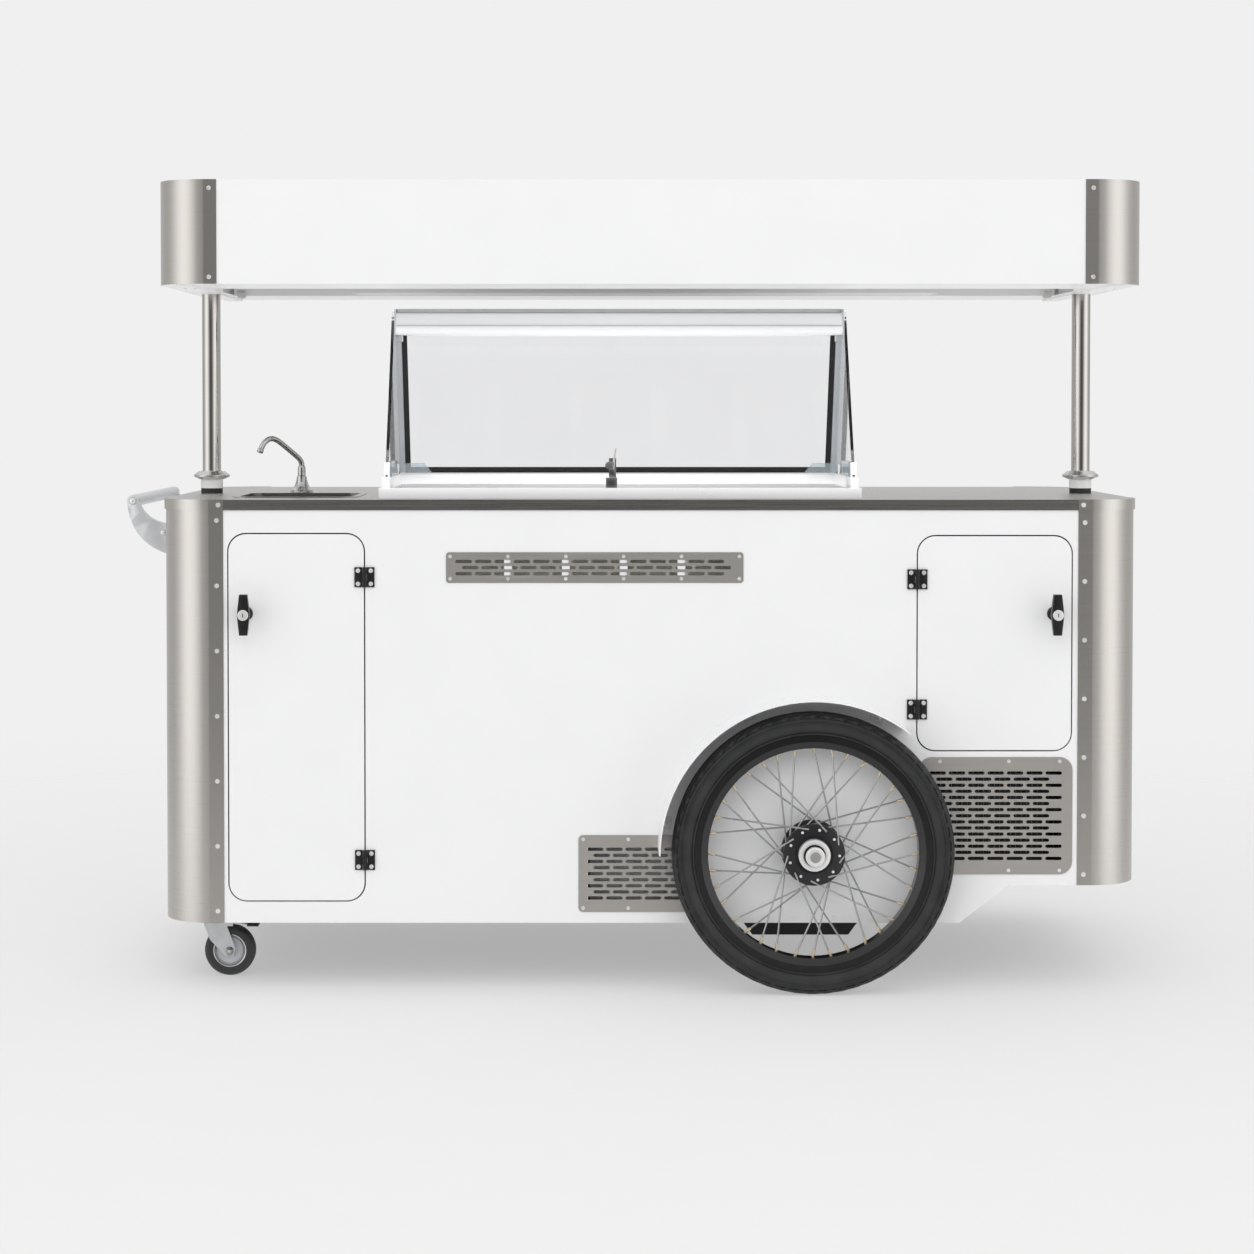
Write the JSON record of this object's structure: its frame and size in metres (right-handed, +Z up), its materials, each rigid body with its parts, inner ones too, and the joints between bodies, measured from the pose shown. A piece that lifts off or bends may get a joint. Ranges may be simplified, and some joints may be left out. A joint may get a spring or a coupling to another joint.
{
  "type": "push vending cart",
  "caption": "Push cart for selling gelato: white panelled body on spoked wheels and swivel casters, with a glass display, a sink, service doors and a lifting canopy on poles.",
  "frame": {"origin": "middle of the cart's footprint, on the floor", "axes": "+X along the cart, away from the push handle; +Y from the operator to the customer; +Z up"},
  "size_m": [1.981, 1.024, 1.556],
  "materials": {
    "black_steel": "satin black paint",
    "frame_steel": "welded stainless tube",
    "white_panel": "smooth satin white laminate",
    "brushed_steel": "fine brushed stainless, grain upright",
    "screw_steel": "bright stainless screw heads",
    "worktop_steel": "brushed stainless, grain along the worktop",
    "chrome": "polished chrome plate",
    "grille_steel": "brushed stainless sheet",
    "white_paint": "satin white powder coat",
    "axle_steel": "black painted steel",
    "white_nylon": "turned white nylon",
    "black_rubber": "matt black seal rubber",
    "white_plastic": "moulded white plastic",
    "clear_glass": "clear tempered glass",
    "grey_profile": "satin grey profile",
    "header_profile": "satin light grey profile",
    "foam": "rigid foam",
    "pan_steel": "drawn stainless",
    "handle_paint": "silver grey paint",
    "black_zinc": "black coated zinc casting",
    "zinc_steel": "bright zinc plate",
    "machine_grey": "machine grey",
    "black_plastic": "black moulded plastic",
    "machine_white": "moulded box",
    "tank_plastic": "translucent polyethylene",
    "canopy_paint": "white powder coat",
    "pole_steel": "polished stainless tube",
    "tyre_rubber": "black tyre rubber",
    "black_rim": "gloss black rim",
    "hub_steel": "zinc plated spokes and hub",
    "caster_rubber": "black caster tread"
  },
  "bodies": {
    "root": {"floor_pan": "black_steel", "frame_rails": "frame_steel", "frame_posts": "frame_steel", "front_panel": "white_panel", "rear_panel": "white_panel", "end_panels": "white_panel", "corner_columns": "brushed_steel", "body_screws": "screw_steel", "worktop": "worktop_steel", "worktop_trims": "brushed_steel", "sink_bowl": "worktop_steel", "tap_base": "chrome", "vent_grilles": "grille_steel", "fenders": "white_paint", "axle": "axle_steel", "pole_bushes": "white_nylon", "pole_collars": "chrome", "pole_sleeves": "frame_steel", "rubber_seals": "black_rubber", "display_base": "white_plastic", "side_glasses": "clear_glass", "display_posts": "grey_profile", "header": "header_profile", "latch_post": "chrome", "well_liner": "worktop_steel", "well_insulation": "foam", "gelato_pans": "pan_steel", "push_handle": "handle_paint", "hinge_frames": "black_zinc", "caster_plates": "zinc_steel", "condensing_unit": "machine_grey", "electrical_box": "machine_white", "water_system": "tank_plastic"},
    "tap": {"tap_spout": "chrome"},
    "pane": {"rear_pane": "clear_glass", "pane_trim": "black_rubber"},
    "left_door": {"door_left": "white_panel", "door_left_leaves": "black_zinc"},
    "right_door": {"door_right": "white_panel", "door_right_leaves": "black_zinc"},
    "left_latch": {"t_handle_left": "black_plastic"},
    "right_latch": {"t_handle_right": "black_plastic"},
    "canopy": {"canopy_panels": "white_panel", "canopy_roof": "white_panel", "canopy_frame": "canopy_paint", "canopy_caps": "brushed_steel", "canopy_poles": "pole_steel"},
    "near_wheel": {"near_tyre": "tyre_rubber", "near_rim": "black_rim", "near_hub": "hub_steel"},
    "far_wheel": {"far_tyre": "tyre_rubber", "far_rim": "black_rim", "far_hub": "hub_steel"},
    "near_caster_swivel": {"near_fork": "zinc_steel"},
    "far_caster_swivel": {"far_fork": "zinc_steel"},
    "near_caster_roll": {"near_caster_wheel": "caster_rubber"},
    "far_caster_roll": {"far_caster_wheel": "caster_rubber"},
    "near_pedal": {"near_brake_pedal": "zinc_steel"},
    "far_pedal": {"far_brake_pedal": "zinc_steel"},
    "fan": {"condenser_fan": "black_plastic"}
  },
  "joints": [
    {"name": "canopy_lift", "type": "slide", "parent": "root", "child": "canopy", "axis": [0, 0, 1], "range_m": [0, 0.5]},
    {"name": "near_wheel_roll", "type": "hinge", "parent": "root", "child": "near_wheel", "pos_m": [0.3475, -0.45, 0.27], "axis": [0, 1, 0], "continuous": true},
    {"name": "far_wheel_roll", "type": "hinge", "parent": "root", "child": "far_wheel", "pos_m": [0.3475, 0.45, 0.27], "axis": [0, 1, 0], "continuous": true},
    {"name": "near_caster_turn", "type": "hinge", "parent": "root", "child": "near_caster_swivel", "pos_m": [-0.8155, -0.28, 0.105], "axis": [0, 0, 1], "continuous": true},
    {"name": "far_caster_turn", "type": "hinge", "parent": "root", "child": "far_caster_swivel", "pos_m": [-0.8155, 0.28, 0.105], "axis": [0, 0, 1], "continuous": true},
    {"name": "near_caster_roll", "type": "hinge", "parent": "near_caster_swivel", "child": "near_caster_roll", "pos_m": [-0.7875, -0.28, 0.05], "axis": [0, 1, 0], "continuous": true},
    {"name": "far_caster_roll", "type": "hinge", "parent": "far_caster_swivel", "child": "far_caster_roll", "pos_m": [-0.7875, 0.28, 0.05], "axis": [0, 1, 0], "continuous": true},
    {"name": "near_brake_press", "type": "hinge", "parent": "near_caster_swivel", "child": "near_pedal", "pos_m": [-0.7855, -0.28, 0.106], "axis": [0, 1, 0], "range_deg": [0, 10]},
    {"name": "far_brake_press", "type": "hinge", "parent": "far_caster_swivel", "child": "far_pedal", "pos_m": [-0.7855, 0.28, 0.106], "axis": [0, 1, 0], "range_deg": [0, 10]},
    {"name": "left_door_hinge", "type": "hinge", "parent": "root", "child": "left_door", "pos_m": [-0.512, -0.403, 0.5], "axis": [0, 0, 1], "range_deg": [0, 110]},
    {"name": "right_door_hinge", "type": "hinge", "parent": "root", "child": "right_door", "pos_m": [0.5513, -0.403, 0.66], "axis": [0, 0, -1], "range_deg": [0, 95]},
    {"name": "left_latch_turn", "type": "hinge", "parent": "left_door", "child": "left_latch", "pos_m": [-0.7404, -0.43, 0.723], "axis": [0, 1, 0], "range_deg": [0, 90]},
    {"name": "right_latch_turn", "type": "hinge", "parent": "right_door", "child": "right_latch", "pos_m": [0.8147, -0.43, 0.723], "axis": [0, -1, 0], "range_deg": [0, 90]},
    {"name": "tap_swivel", "type": "hinge", "parent": "root", "child": "tap", "pos_m": [-0.6755, 0.017, 0.976], "axis": [0, 0, 1], "range_deg": [-60, 60]},
    {"name": "pane_tilt", "type": "hinge", "parent": "root", "child": "pane", "pos_m": [-0.0195, -0.103, 1.312], "axis": [1, 0, 0], "range_deg": [0, 60]},
    {"name": "fan_spin", "type": "hinge", "parent": "root", "child": "fan", "pos_m": [0.6785, -0.2605, 0.326], "axis": [0, 1, 0], "continuous": true}
  ]
}
